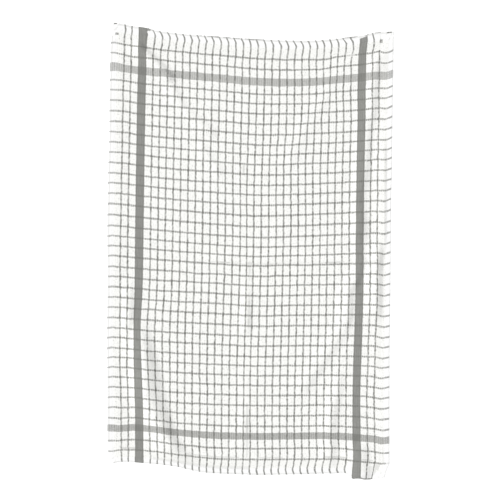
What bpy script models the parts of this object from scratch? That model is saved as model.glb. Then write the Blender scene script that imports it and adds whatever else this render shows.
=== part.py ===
"""Tea towel: one woven cloth, hemmed on all four sides, lying on a flat surface.

Metres, +Z up. X runs across the cloth, +Y runs towards its top edge, and the origin is the
middle of its footprint, on the surface. The cloth is drawn flat first, as a grid of its own
measures (how far across from the left edge, how far down from the top edge), and then laid:
its threads bow and lean, its corners are pulled in, and low folds rise off the surface.
"""

from collections import namedtuple

import bmesh
import bpy
import numpy as np

MM = 0.001

# The cloth as it was cut and hemmed, laid straight.
WIDTH = 480 * MM
LENGTH = 745 * MM
SHEET_THICKNESS = 1.2 * MM
HEM_THICKNESS = 2.4 * MM
SIDE_HEM = 10 * MM
END_HEM = 13 * MM
HEM_STEP = 2 * MM
EDGE_ROUND = 1.2 * MM
EDGE_SHARE = 0.6

# How far a crosswise thread lies above (+) its straight place, in mm. A row for each
# section down the cloth, and a column for each place across it.
Bow = namedtuple(
    "Bow",
    "down left_edge left_band left_fold quarter middle three_quarter right_panel right_band"
    " right_edge",
)
BOW_ACROSS = Bow("across", 0, 52, 110, 180, 250, 320, 380, 426, 480)
BOWS = (
    Bow(0, 15.5, 5.5, -4.0, -9.5, -14.5, -17.0, -13.0, -7.5, 0.0),
    Bow(31, 11.5, 3.7, -3.3, -9.6, -15.7, -17.1, -13.1, -7.6, -2.0),
    Bow(120, 11.0, 3.0, -2.8, -8.6, -14.8, -14.6, -11.3, -7.8, -2.5),
    Bow(220, 8.3, 1.5, -4.7, -10.0, -14.8, -13.9, -11.4, -8.6, -4.5),
    Bow(330, 3.6, -1.4, -7.3, -13.1, -17.3, -15.7, -13.1, -11.2, -9.0),
    Bow(440, 2.4, -1.8, -5.7, -9.5, -14.0, -12.8, -12.1, -11.4, -12.0),
    Bow(550, 2.3, -0.9, -6.4, -10.3, -13.0, -12.5, -12.1, -12.7, -15.0),
    Bow(640, 3.4, 2.2, -4.8, -9.4, -11.3, -11.5, -10.6, -12.9, -17.0),
    Bow(713, 4.7, 3.5, -1.5, -9.0, -10.8, -10.4, -10.5, -13.8, -18.5),
    Bow(745, 12.0, 12.0, 4.5, -6.5, -8.3, -8.3, -8.3, -11.0, -11.5),
)

# How far a lengthwise thread lies to the right (+) of its straight place, in mm.
Drift = namedtuple(
    "Drift",
    "down left_edge check_start left_fold middle three_quarter right_band right_edge",
)
DRIFT_ACROSS = Drift("across", 0, 71, 110, 250, 320, 426, 480)
DRIFTS = (
    Drift(0, 5.0, 4.5, 4.5, 6.5, 7.5, 5.5, 3.5),
    Drift(31, 4.8, 4.2, 4.0, 6.2, 7.0, 4.8, 3.0),
    Drift(120, 2.5, 2.2, 2.5, 4.4, 5.9, 3.5, 1.6),
    Drift(220, 0.9, 0.4, 0.5, 1.6, 1.2, 1.5, 0.4),
    Drift(330, -1.0, -1.1, -0.9, 1.0, 0.9, 0.0, -0.2),
    Drift(440, -1.9, -3.2, -2.9, -1.2, -1.3, -0.5, -0.9),
    Drift(487, -2.4, -6.0, -5.0, -2.6, -2.2, -1.9, -1.6),
    Drift(550, -2.3, -5.2, -5.0, -4.6, -3.9, -4.0, -2.8),
    Drift(640, -1.0, -2.8, -4.4, -5.6, -5.7, -5.3, -3.6),
    Drift(745, -0.5, -2.2, -3.1, -5.6, -5.6, -4.4, -3.5),
)

# Corners that the hems pull in: sideways and upwards, in mm, fading out over the reach.
Corner = namedtuple("Corner", "name across down pull_right pull_up reach")
CORNERS = (
    Corner("top_left", 0, 0, 1.5, -0.5, 12),
    Corner("foot_left", 0, 745, 6.0, -1.0, 18),
    Corner("foot_right", 480, 745, -9.0, 2.0, 34),
)

# The foot hem is sewn lower from the right band on.
FOOT_STEP_ACROSS = 419 * MM
FOOT_STEP_RUN = 5 * MM
FOOT_STEP_DROP = 4 * MM
FOOT_STEP_REACH = 30 * MM

# Folds that stand off the surface, in mm from the middle of the footprint. Each is a rounded
# ridge from start to end, bowed (+) towards the left hand of its run, drawing the cloth in. It
# is steep on that side, to its half width, and gentler on the other.
Fold = namedtuple("Fold", "name start_x start_y end_x end_y bow half_width height draw")
FOLDS = (
    Fold("foot_left", -192, -98, -96, -374, -20, 23, 9.0, 2.4),
    Fold("top_left", -204, 355, -128, 282, 2, 12, 7.5, 0.0),
    Fold("top_left_turn", -140, 290, -110, 232, 0, 11, 2.6, 0.0),
    Fold("top_left_arm", -120, 248, -54, 195, -2, 10, 3.0, 0.0),
    Fold("top_left_low", -92, 184, -46, 126, 0, 10, 2.2, 0.0),
    Fold("top_right", 142, 312, 56, 122, -6, 17, 1.4, 2.0),
    Fold("press_lengthwise", -15, 180, -12, -368, 7, 10, 1.6, 2.0),
    Fold("press_crosswise", 232, -15, -110, -14, 4, 10, 1.3, 0.0),
    Fold("left_hem", -206, -42, -207, -218, 0, 11, 2.8, 0.0),
    Fold("right_top", 213, 338, 203, 205, 0, 13, 3.4, 0.0),
    Fold("right_long", 202, 300, 146, -172, 10, 14, 3.6, 0.0),
    Fold("right_turn", 162, -128, 78, -250, 0, 15, 2.2, 0.0),
    Fold("right_low", 151, -198, 134, -378, 0, 12, 2.6, 0.0),
    Fold("right_hem", 218, 200, 218, -10, 0, 10, 1.4, 0.0),
    Fold("right_hem_dip", 214, 28, 214, -128, 0, 14, 5.0, 0.0),
    Fold("foot_right", 186, -322, 188, -395, 0, 20, 4.5, 0.0),
)
FOLD_END = 0.2
GENTLE_SIDE = 1.7
DRAW_FADE = 35 * MM

# Spacing of the grid lines between the hems, closer where the folds run.
Stretch = namedtuple("Stretch", "until step")
STRETCHES_ACROSS = (
    Stretch(52, 8),
    Stretch(122, 6),
    Stretch(150, 7),
    Stretch(222, 13),
    Stretch(262, 8),
    Stretch(355, 14),
    Stretch(410, 8),
    Stretch(468, 6.5),
)
STRETCHES_DOWN = (
    Stretch(125, 8),
    Stretch(250, 14),
    Stretch(375, 18),
    Stretch(410, 9),
    Stretch(500, 16),
    Stretch(730, 11.5),
)


def smooth_through(places, values, at):
    """The smooth curve through values at places, read at each number of at.

    The values are numbers, or rows that hold one number for each number of at.
    """
    places = np.asarray(places, float)
    values = np.asarray(values, float)
    slopes = np.gradient(values, places, axis=0)
    first = np.clip(np.searchsorted(places, at) - 1, 0, len(places) - 2)
    span = places[first + 1] - places[first]
    f = np.clip((at - places[first]) / span, 0, 1)

    def read(rows, index):
        if rows.ndim == 1:
            return rows[index]
        return np.take_along_axis(rows, index[None], 0)[0]

    start = read(values, first) * (1 + 2 * f) * (1 - f) ** 2
    start_slope = read(slopes, first) * span * f * (1 - f) ** 2
    end = read(values, first + 1) * (3 - 2 * f) * f**2
    end_slope = read(slopes, first + 1) * span * (f - 1) * f**2
    return start + start_slope + end + end_slope


def smooth_step(x):
    """Rises smoothly from 0 to 1 as x goes from 0 to 1."""
    x = np.clip(x, 0, 1)
    return x * x * (3 - 2 * x)


def read_table(places, rows, across, down):
    """A table's value in metres at each point of the flat cloth."""
    at_rows = [smooth_through(places[1:], row[1:], across / MM) for row in rows]
    return smooth_through([row.down for row in rows], at_rows, down / MM) * MM


def foot_step(across, down):
    """How far the foot hem lies lower at each point."""
    past = smooth_step((across - FOOT_STEP_ACROSS) / FOOT_STEP_RUN + 0.5)
    return FOOT_STEP_DROP * past * smooth_step(1 - (LENGTH - down) / FOOT_STEP_REACH)


def along_and_off(fold, x, y):
    """Where each point lies along a fold, from 0 to 1, how far off it, and its left side."""
    run_x = (fold.end_x - fold.start_x) * MM
    run_y = (fold.end_y - fold.start_y) * MM
    length = np.hypot(run_x, run_y)
    side_x, side_y = -run_y / length, run_x / length
    from_x = x - fold.start_x * MM
    from_y = y - fold.start_y * MM
    along = np.clip((from_x * run_x + from_y * run_y) / length**2, 0, 1)
    off = from_x * side_x + from_y * side_y - fold.bow * MM * 4 * along * (1 - along)
    return along, off, (side_x, side_y)


def fold_strength(along):
    """1 in the middle of a fold's run, and 0 at its ends."""
    return smooth_step(along / FOLD_END) * smooth_step((1 - along) / FOLD_END)


def draw_in(x, y):
    """Moves the cloth beside each fold towards it, by what the fold takes up."""
    for fold in FOLDS:
        along, off, side = along_and_off(fold, x, y)
        reach = np.tanh(off / (fold.half_width * MM)) * np.exp(-np.abs(off) / DRAW_FADE)
        move = fold.draw * MM * fold_strength(along) * reach
        x = x - move * side[0]
        y = y - move * side[1]
    return x, y


def lie(across, down):
    """Where each point of the flat cloth lies on the surface."""
    x = across - WIDTH / 2 + read_table(DRIFT_ACROSS, DRIFTS, across, down)
    y = LENGTH / 2 - down + read_table(BOW_ACROSS, BOWS, across, down)
    y = y - foot_step(across, down)
    for corner in CORNERS:
        away = np.hypot(across - corner.across * MM, down - corner.down * MM)
        share = smooth_step(1 - away / (corner.reach * MM))
        x = x + corner.pull_right * MM * share
        y = y + corner.pull_up * MM * share
    return draw_in(x, y)


def lift(x, y):
    """How high the underside stands off the surface at each place."""
    height = np.zeros_like(x)
    for fold in FOLDS:
        along, off, _ = along_and_off(fold, x, y)
        reach = fold.half_width * MM * np.where(off > 0, 1, GENTLE_SIDE)
        ridge = smooth_step(1 - np.abs(off) / reach)
        height = np.maximum(height, fold.height * MM * ridge * fold_strength(along))
    return height


def thickness(across, down):
    """The cloth's thickness: double at the hems, and rounded off at the outer edge."""
    side = np.minimum(across, WIDTH - across)
    end = np.minimum(down, LENGTH - down)
    inside = np.minimum(side - SIDE_HEM, end - END_HEM)
    hem = smooth_step(1 - inside / HEM_STEP)
    thick = SHEET_THICKNESS + (HEM_THICKNESS - SHEET_THICKNESS) * hem
    edge = np.clip(np.minimum(side, end) / EDGE_ROUND, 0, 1)
    return thick * (EDGE_SHARE + (1 - EDGE_SHARE) * edge)


def grid_lines(hem, size, stretches):
    """Places of the grid lines from one edge to the other, in metres."""
    lines = [0, EDGE_ROUND, hem]
    start = hem + HEM_STEP
    for stretch in stretches:
        until = min(stretch.until * MM, size - hem - HEM_STEP)
        count = max(1, round((until - start) / (stretch.step * MM)))
        lines.extend(np.linspace(start, until, count, endpoint=False))
        start = until
    return np.array(lines + [size - hem - HEM_STEP, size - hem, size - EDGE_ROUND, size])


def cotton_material():
    """Undyed cotton, matt."""
    material = bpy.data.materials.new("cotton_cloth")
    material.use_nodes = True
    shader = material.node_tree.nodes["Principled BSDF"]
    shader.inputs["Base Color"].default_value = (0.87, 0.87, 0.84, 1)
    shader.inputs["Roughness"].default_value = 0.92
    shader.inputs["Metallic"].default_value = 0
    return material


def centred(values):
    """The values moved so that their lowest and highest are as far from 0."""
    return values - (values.min() + values.max()) / 2


def lay_grid(sheet, lines_across, lines_down):
    """Lays each point of a square grid as the cloth's underside, and returns its thickness."""
    last_across = len(lines_across) - 1
    last_down = len(lines_down) - 1
    points = np.array([vertex.co[:2] for vertex in sheet.verts])
    columns = np.rint((points[:, 0] + 1) / 2 * last_across).astype(int)
    rows = np.rint((1 - points[:, 1]) / 2 * last_down).astype(int)
    across = lines_across[columns]
    down = lines_down[rows]
    x, y = lie(across, down)
    z = lift(x, y)
    for vertex, place in zip(sheet.verts, zip(centred(x), centred(y), z)):
        vertex.co = place
    return thickness(across, down)


def make_towel():
    """The laid underside as a mesh, thickened upwards by a Solidify modifier."""
    lines_across = grid_lines(SIDE_HEM, WIDTH, STRETCHES_ACROSS)
    lines_down = grid_lines(END_HEM, LENGTH, STRETCHES_DOWN)
    sheet = bmesh.new()
    bmesh.ops.create_grid(
        sheet, x_segments=len(lines_across) - 1, y_segments=len(lines_down) - 1, size=1
    )
    thick = lay_grid(sheet, lines_across, lines_down)
    mesh = bpy.data.meshes.new("towel")
    sheet.to_mesh(mesh)
    sheet.free()
    mesh.materials.append(cotton_material())

    towel = bpy.data.objects.new("towel", mesh)
    bpy.context.scene.collection.objects.link(towel)
    group = towel.vertex_groups.new(name="thickness")
    for index, share in enumerate(thick / HEM_THICKNESS):
        group.add([index], float(share), "REPLACE")
    solidify = towel.modifiers.new("thickness", "SOLIDIFY")
    solidify.thickness = HEM_THICKNESS
    solidify.offset = 1
    solidify.vertex_group = group.name
    mesh.shade_smooth()
    mesh.set_sharp_from_angle(angle=np.radians(40))
    return towel


def main():
    for obj in list(bpy.data.objects):
        bpy.data.objects.remove(obj, do_unlink=True)
    make_towel()


main()
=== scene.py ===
"""The tea towel as it looks: a fine woven sheet in place of its plain solid, with puckered,
stitched hems and a yarn-dyed check, on a pale floor under soft light.

Metres, +Z up, with the middle of the footprint at the origin. The sheet is drawn flat first (how
far across from the left edge, how far down from the top edge) and then laid, in the same way and
from the same sizes as its solid, so that the check follows every bow, fold and pucker.
"""

from collections import namedtuple

import bpy
import numpy as np
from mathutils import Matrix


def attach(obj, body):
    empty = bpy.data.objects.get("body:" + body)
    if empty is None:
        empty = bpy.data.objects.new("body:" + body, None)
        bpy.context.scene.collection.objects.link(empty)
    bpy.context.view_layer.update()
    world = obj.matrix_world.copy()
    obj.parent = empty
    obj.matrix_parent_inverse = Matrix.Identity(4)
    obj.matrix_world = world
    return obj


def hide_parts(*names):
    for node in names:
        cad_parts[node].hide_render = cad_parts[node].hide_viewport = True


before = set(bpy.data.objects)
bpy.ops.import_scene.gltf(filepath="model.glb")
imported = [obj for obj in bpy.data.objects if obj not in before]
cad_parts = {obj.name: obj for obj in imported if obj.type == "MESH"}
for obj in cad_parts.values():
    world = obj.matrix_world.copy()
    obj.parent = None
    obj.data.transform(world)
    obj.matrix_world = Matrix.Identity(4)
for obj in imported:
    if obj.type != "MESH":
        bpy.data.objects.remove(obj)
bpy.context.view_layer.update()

MM = 0.001

# ---- sizes shared with the solid

WIDTH = 480 * MM
LENGTH = 745 * MM
SHEET_THICKNESS = 1.2 * MM
HEM_THICKNESS = 2.4 * MM
SIDE_HEM = 10 * MM
END_HEM = 13 * MM

# How far a crosswise thread lies above (+) its straight place, in mm. A row for each
# section down the cloth, and a column for each place across it.
Bow = namedtuple(
    "Bow",
    "down left_edge left_band left_fold quarter middle three_quarter right_panel right_band"
    " right_edge",
)
BOW_ACROSS = Bow("across", 0, 52, 110, 180, 250, 320, 380, 426, 480)
BOWS = (
    Bow(0, 15.5, 5.5, -4.0, -9.5, -14.5, -17.0, -13.0, -7.5, 0.0),
    Bow(31, 11.5, 3.7, -3.3, -9.6, -15.7, -17.1, -13.1, -7.6, -2.0),
    Bow(120, 11.0, 3.0, -2.8, -8.6, -14.8, -14.6, -11.3, -7.8, -2.5),
    Bow(220, 8.3, 1.5, -4.7, -10.0, -14.8, -13.9, -11.4, -8.6, -4.5),
    Bow(330, 3.6, -1.4, -7.3, -13.1, -17.3, -15.7, -13.1, -11.2, -9.0),
    Bow(440, 2.4, -1.8, -5.7, -9.5, -14.0, -12.8, -12.1, -11.4, -12.0),
    Bow(550, 2.3, -0.9, -6.4, -10.3, -13.0, -12.5, -12.1, -12.7, -15.0),
    Bow(640, 3.4, 2.2, -4.8, -9.4, -11.3, -11.5, -10.6, -12.9, -17.0),
    Bow(713, 4.7, 3.5, -1.5, -9.0, -10.8, -10.4, -10.5, -13.8, -18.5),
    Bow(745, 12.0, 12.0, 4.5, -6.5, -8.3, -8.3, -8.3, -11.0, -11.5),
)

# How far a lengthwise thread lies to the right (+) of its straight place, in mm.
Drift = namedtuple(
    "Drift",
    "down left_edge check_start left_fold middle three_quarter right_band right_edge",
)
DRIFT_ACROSS = Drift("across", 0, 71, 110, 250, 320, 426, 480)
DRIFTS = (
    Drift(0, 5.0, 4.5, 4.5, 6.5, 7.5, 5.5, 3.5),
    Drift(31, 4.8, 4.2, 4.0, 6.2, 7.0, 4.8, 3.0),
    Drift(120, 2.5, 2.2, 2.5, 4.4, 5.9, 3.5, 1.6),
    Drift(220, 0.9, 0.4, 0.5, 1.6, 1.2, 1.5, 0.4),
    Drift(330, -1.0, -1.1, -0.9, 1.0, 0.9, 0.0, -0.2),
    Drift(440, -1.9, -3.2, -2.9, -1.2, -1.3, -0.5, -0.9),
    Drift(487, -2.4, -6.0, -5.0, -2.6, -2.2, -1.9, -1.6),
    Drift(550, -2.3, -5.2, -5.0, -4.6, -3.9, -4.0, -2.8),
    Drift(640, -1.0, -2.8, -4.4, -5.6, -5.7, -5.3, -3.6),
    Drift(745, -0.5, -2.2, -3.1, -5.6, -5.6, -4.4, -3.5),
)

# Corners that the hems pull in: sideways and upwards, in mm, fading out over the reach.
Corner = namedtuple("Corner", "name across down pull_right pull_up reach")
CORNERS = (
    Corner("top_left", 0, 0, 1.5, -0.5, 12),
    Corner("foot_left", 0, 745, 6.0, -1.0, 18),
    Corner("foot_right", 480, 745, -9.0, 2.0, 34),
)

# The foot hem is sewn lower from the right band on.
FOOT_STEP_ACROSS = 419 * MM
FOOT_STEP_RUN = 5 * MM
FOOT_STEP_DROP = 4 * MM
FOOT_STEP_REACH = 30 * MM

# Folds that stand off the surface, in mm from the middle of the footprint. Each is a rounded
# ridge from start to end, bowed (+) towards the left hand of its run, drawing the cloth in. It
# is steep on that side, to its half width, and gentler on the other.
Fold = namedtuple("Fold", "name start_x start_y end_x end_y bow half_width height draw")
FOLDS = (
    Fold("foot_left", -192, -98, -96, -374, -20, 23, 9.0, 2.4),
    Fold("top_left", -204, 355, -128, 282, 2, 12, 7.5, 0.0),
    Fold("top_left_turn", -140, 290, -110, 232, 0, 11, 2.6, 0.0),
    Fold("top_left_arm", -120, 248, -54, 195, -2, 10, 3.0, 0.0),
    Fold("top_left_low", -92, 184, -46, 126, 0, 10, 2.2, 0.0),
    Fold("top_right", 142, 312, 56, 122, -6, 17, 1.4, 2.0),
    Fold("press_lengthwise", -15, 180, -12, -368, 7, 10, 1.6, 2.0),
    Fold("press_crosswise", 232, -15, -110, -14, 4, 10, 1.3, 0.0),
    Fold("left_hem", -206, -42, -207, -218, 0, 11, 2.8, 0.0),
    Fold("right_top", 213, 338, 203, 205, 0, 13, 3.4, 0.0),
    Fold("right_long", 202, 300, 146, -172, 10, 14, 3.6, 0.0),
    Fold("right_turn", 162, -128, 78, -250, 0, 15, 2.2, 0.0),
    Fold("right_low", 151, -198, 134, -378, 0, 12, 2.6, 0.0),
    Fold("right_hem", 218, 200, 218, -10, 0, 10, 1.4, 0.0),
    Fold("right_hem_dip", 214, 28, 214, -128, 0, 14, 5.0, 0.0),
    Fold("foot_right", 186, -322, 188, -395, 0, 20, 4.5, 0.0),
)
FOLD_END = 0.2
GENTLE_SIDE = 1.7
DRAW_FADE = 35 * MM

# ---- sizes of the fine sheet

# How the folds vary along their runs. For each fold that does, a row for each place down it: the
# share of its height there, how far it lies towards its steep side, and how much wider that side
# is, in mm.
Swell = namedtuple("Swell", "y share shift spread", defaults=(0, 0))
SWELLS = {
    "foot_left": (
        Swell(-98, 0.5),
        Swell(-150, 0.7),
        Swell(-178, 1.0),
        Swell(-206, 1.1, 1, 4),
        Swell(-226, 1.2, 0, 9),
        Swell(-262, 1.25, -4, 8),
        Swell(-284, 1.2, -8, 4),
        Swell(-306, 1.15, -13, -3),
        Swell(-332, 0.9, -12, -4),
        Swell(-350, 0.6, -7),
        Swell(-374, 0.3),
    ),
    "top_left": (Swell(355, 1.2, 0, -2), Swell(282, 1.1, 0, -2)),
    "top_right": (Swell(312, 0.5, 14), Swell(122, 0.8)),
    "press_lengthwise": (
        Swell(180, 0.9),
        Swell(137, 1.2),
        Swell(117, 0.5),
        Swell(66, 0.1),
        Swell(-10, 0.1),
        Swell(-24, 1.2),
        Swell(-37, 0.5),
        Swell(-66, 0.6),
        Swell(-92, 1.5),
        Swell(-126, 1.4),
        Swell(-143, 0.3),
        Swell(-190, 0.1),
        Swell(-220, 0.5),
        Swell(-250, 0.2),
        Swell(-300, 1.4),
        Swell(-368, 1.2),
    ),
    "right_long": (
        Swell(300, 0.8),
        Swell(232, 0.7),
        Swell(155, 0.9),
        Swell(132, 1.1),
        Swell(74, 0.7),
        Swell(52, 1.4, 4),
        Swell(35, 1.2, 6),
        Swell(12, 0.5, 10),
        Swell(-18, 0.9, 16),
        Swell(-40, 0.7, 13),
        Swell(-66, 1.1, 1),
        Swell(-99, 1.5, 5),
        Swell(-119, 2.0, 6),
        Swell(-172, 1.5),
    ),
    "right_low": (
        Swell(-198, 0.7),
        Swell(-238, 0.8),
        Swell(-278, 1.5, 0, 7),
        Swell(-318, 1.3, 0, 6),
        Swell(-378, 1.2),
    ),
    "right_hem": (Swell(200, 1.3, 5, -3), Swell(-10, 1.3, 5, -3)),
    "right_hem_dip": (
        Swell(28, 0.4, 2),
        Swell(12, 0.6, 2),
        Swell(-18, 1.4, -0.5),
        Swell(-38, 1.1, -1.4),
        Swell(-69, 1.2, -1.6),
        Swell(-128, 0.6, -1.0),
    ),
}

# How far the long edges lie to the right (+) of where the solid has them, and the short edges
# above (+) it, in mm. The cloth beside them follows, less and less over the reach.
LongEdge = namedtuple("LongEdge", "down left right")
LONG_EDGES = (
    LongEdge(0, -1.2, -0.6),
    LongEdge(30, -2.8, -0.6),
    LongEdge(60, -3.2, -0.5),
    LongEdge(110, -2.7, -0.6),
    LongEdge(200, -2.2, -0.6),
    LongEdge(240, -3.0, -0.8),
    LongEdge(280, -2.8, -1.6),
    LongEdge(350, -2.8, -2.0),
    LongEdge(400, -1.7, -2.1),
    LongEdge(450, -1.6, -2.2),
    LongEdge(520, -2.5, -2.0),
    LongEdge(585, -2.2, -1.0),
    LongEdge(650, -2.8, -0.9),
    LongEdge(700, -2.9, -0.9),
    LongEdge(745, 0.0, 0.0),
)
ShortEdge = namedtuple("ShortEdge", "across top foot")
SHORT_EDGES = (
    ShortEdge(0, 0.0, 0.0),
    ShortEdge(25, 0.2, 1.0),
    ShortEdge(60, 1.4, -0.4),
    ShortEdge(80, 0.6, 0.4),
    ShortEdge(110, 0.9, 1.4),
    ShortEdge(150, 1.0, 0.0),
    ShortEdge(200, 1.0, 0.8),
    ShortEdge(260, 1.2, -0.6),
    ShortEdge(300, 1.6, 0.0),
    ShortEdge(340, 0.6, 0.4),
    ShortEdge(385, 0.4, 1.8),
    ShortEdge(412, 0.6, 1.4),
    ShortEdge(417, 0.7, -2.8),
    ShortEdge(419, 0.8, -2.0),
    ShortEdge(422, 0.9, -0.4),
    ShortEdge(440, 2.4, -1.4),
    ShortEdge(462, 1.8, -0.8),
    ShortEdge(480, 0.0, 0.0),
)
EDGE_REACH = 18 * MM

# Small pulls here and there, to the right (+) and upwards (+), in mm, fading out over the reach.
Tug = namedtuple("Tug", "across down right up reach_across reach_down")
TUGS = (
    # Beside the fold at the top right.
    Tug(360, 93, 1.5, 0, 22, 24),
    Tug(394, 88, -1.9, 0, 46, 60),
    Tug(362, 138, -1.2, 0, 28, 28),
    # The top and the middle.
    Tug(208, 28, 1.4, 0, 30, 18),
    Tug(292, 130, 0, 1.1, 56, 50),
    Tug(154, 402, 0, -1.2, 36, 26),
    Tug(288, 384, 0, 1.3, 56, 32),
    Tug(290, 195, -1.3, 0, 32, 42),
    # Towards the foot.
    Tug(170, 600, 0.9, 0, 38, 30),
    Tug(172, 640, 1.3, 0, 36, 52),
    Tug(190, 706, 1.0, 0, 22, 24),
    Tug(245, 712, -1.1, 0, 22, 26),
    # The right panel's top and the band beside it.
    Tug(407, 50, -1.2, 0, 18, 22),
    Tug(354, 35, 0, -2.2, 30, 24),
    Tug(386, 44, 0, 1.4, 28, 24),
    Tug(446, 138, 1.0, 0, 24, 50),
    # The lines along the sides.
    Tug(30, 485, 2.0, 0, 38, 100),
    Tug(24, 640, 0.6, -0.9, 24, 80),
    Tug(450, 605, -1.4, 0, 38, 75),
    Tug(458, 515, -1.0, 0, 22, 60),
    # The low folds, and the crosswise lines' dips and rises.
    Tug(394, 632, 0.9, 0, 26, 45),
    Tug(71, 675, -1.2, 0, 15, 50),
    Tug(86, 680, 0, 1.5, 34, 46),
    Tug(86, 424, 0, -1.3, 42, 32),
    Tug(80, 478, 0, 0.8, 34, 26),
    Tug(368, 607, 0, -1.2, 36, 15),
    Tug(396, 708, 0, 1.1, 34, 30),
)

# The turned hems drag the cloth beside them. How far the lengthwise threads are pushed to the
# right (+) in the two end hems, in mm, and how far the crosswise threads are pushed up (+) in
# the two side hems.
EndDrag = namedtuple(
    "EndDrag",
    "down left_edge first_line band_left band_right check_start left_fold quarter middle"
    " over_middle three_quarter right_panel check_end band_start band_end next_line last_line"
    " right_edge",
)
END_DRAG_ACROSS = EndDrag(
    "across", 0, 21, 46, 60, 71, 108, 180, 250, 300, 345, 385, 407, 418, 430, 443, 455, 480
)
STILL = [0] * len(END_DRAG_ACROSS[1:])
END_DRAGS = (
    EndDrag(
        0, 0, 1.6, 0.0, 0.2, -2.7, -0.7, -2.8, -2.5, -3.2, -3.0, -3.8, -4.3, -1.4, 0.2, -1.4, -1.4, 0
    ),
    EndDrag(
        4, 0, 1.5, 0.2, 1.3, 0.0, 1.1, -0.7, -0.9, -0.5, -0.7, -1.6, -2.7, 0.6, 1.4, 0.0, -0.6, 0
    ),
    EndDrag(
        9, 0, 2.1, 0.3, 2.2, 2.5, 3.1, 1.9, 1.1, 2.4, 1.1, 1.0, 1.2, 1.7, 1.9, 1.3, 1.2, 0
    ),
    EndDrag(
        16, 0, 0.2, 0.1, 0.8, 2.1, 1.9, 1.4, 1.2, 1.8, 1.0, 0.9, 2.2, 1.0, 1.1, 2.1, 1.0, 0
    ),
    EndDrag(31, *STILL),
    EndDrag(60, *STILL),
    EndDrag(685, *STILL),
    EndDrag(716, 0, 0.4, 0, 0, 0, 0, 0, 0, 0, 0, 0, 0, 0, 0, 0, 0, 0),
    EndDrag(
        728, 0, 0.7, 0, 0.6, 0.9, -0.2, -0.6, -1.2, -1.7, -2.4, -2.7, -2.3, -1.4, -0.6, -2.2, -1.9, 0
    ),
    EndDrag(
        737, 0, 0.7, -0.4, 0.6, 0.3, -0.6, -1.5, -2.2, -2.8, -3.1, -3.5, -2.9, -2.3, -0.8, -2.6, -3.5, 0
    ),
    EndDrag(
        745, 0, 1.4, -0.6, 0.8, 0.1, 0.1, -1.1, -0.7, -0.8, -0.9, -1.5, -1.4, -2.6, -0.8, -3.4, -4.2, 0
    ),
)
SideDrag = namedtuple(
    "SideDrag",
    "down left_edge left_ply left_hem left_inner left_line left_end check_left right_band"
    " right_first right_last right_hem right_ply right_edge",
)
SIDE_DRAG_ACROSS = SideDrag("across", 0, 4, 9, 15, 26, 40, 60, 424, 440, 456, 466.5, 475, 480)
SIDE_DRAGS = (
    SideDrag(0, 0, 0.2, 0.4, 0.3, 0, 0, 0, 0, 0, 0, -0.6, -0.3, 0),
    SideDrag(31, -0.4, 0.6, 0.8, 0.5, 0.1, 0, 0, 0, 0, 1.0, -2.4, -1.2, 1.0),
    SideDrag(49, 1.6, 2.4, 2.6, 1.4, 0.3, 0, 0, 0, 0, 0.1, -1.5, -0.4, 1.2),
    SideDrag(70, -0.8, 0.2, 0.8, 0.4, 0.3, 0, 0, 0, 0, 0, -1.6, -0.3, 1.4),
    SideDrag(120, -2.0, -1.4, -0.7, -0.1, 0.8, 0, 0, 0, 0, 0, -1.6, -0.3, 1.6),
    SideDrag(200, -2.0, -1.3, -0.8, -0.6, 0.4, 0, 0, 0, 0, 0, -1.5, -0.2, 1.4),
    SideDrag(330, -1.3, -0.5, 0.3, 0.3, 0.3, 0, 0, 0, 0, 0, -1.8, -0.2, 1.4),
    SideDrag(450, -1.1, -0.5, 0.3, 0.1, 0.3, 0, 0, 0, 0, 0, -2.1, -0.9, 0.4),
    SideDrag(540, -1.5, -0.6, 0.6, 0.0, 0.3, 0, 0, 0, 0, -0.3, -2.3, -0.8, 0.6),
    SideDrag(620, -0.9, -0.3, 0.6, 0.2, 0.1, 0, 0, 0, 0, -1.0, -2.0, 0.0, 1.6),
    SideDrag(698, -0.9, -0.9, -0.9, -0.9, 0.6, 1.2, 0.8, 0, 0, -0.4, -1.0, 0.0, 1.0),
    SideDrag(716, -1.9, -1.9, -1.5, -0.2, 0.6, 0.9, 0.6, 0, 0, -1.0, -0.8, -0.2, 0.6),
    SideDrag(745, 0, 0.2, 0.4, 0.2, 0, 0, 0, 0, 0, 0, -0.4, -0.2, 0),
)

# The weaver's beat wasn't quite even. How far the crosswise threads lie above (+) their even
# spacing, in mm.
Slip = namedtuple("Slip", "down up")
SLIPS = (
    Slip(0, 0),
    Slip(31, -0.2),
    Slip(49, 0.4),
    Slip(92, -0.3),
    Slip(109, 0.3),
    Slip(143, -0.4),
    Slip(177, -0.9),
    Slip(212, 0.1),
    Slip(246, 0.1),
    Slip(264, 1.1),
    Slip(298, 1.2),
    Slip(315, 0.4),
    Slip(332, -0.7),
    Slip(366, 0.4),
    Slip(384, 0.6),
    Slip(401, -0.3),
    Slip(418, 0.4),
    Slip(445, -0.3),
    Slip(470, 0.1),
    Slip(504, -0.9),
    Slip(522, -0.1),
    Slip(539, -1.0),
    Slip(556, 0.4),
    Slip(580, 0.6),
    Slip(625, 0.5),
    Slip(659, -0.5),
    Slip(698, 0.4),
    Slip(716, -0.8),
    Slip(745, 0),
)

# What brings the laid cloth over its solid, whose footprint is centred.
SHIFT_RIGHT = -0.54 * MM
SHIFT_UP = 0.07 * MM

# The hem's profile, from the outer edge inwards.
EDGE_ROUND = 1.3 * MM
SIDE_HEM_SLOPE = 26 * MM
END_HEM_SLOPE = 18 * MM
HEM_LIP = 0.3 * MM
HEM_LIP_RISE = 0.9
STITCH_INSET = 1.6 * MM
STITCH_GROOVE = 0.9 * MM
STITCH_SINK_TOP = 0.22 * MM
STITCH_SINK_UNDER = 0.5 * MM
CORNER_PLY = 0.5 * MM

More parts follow.
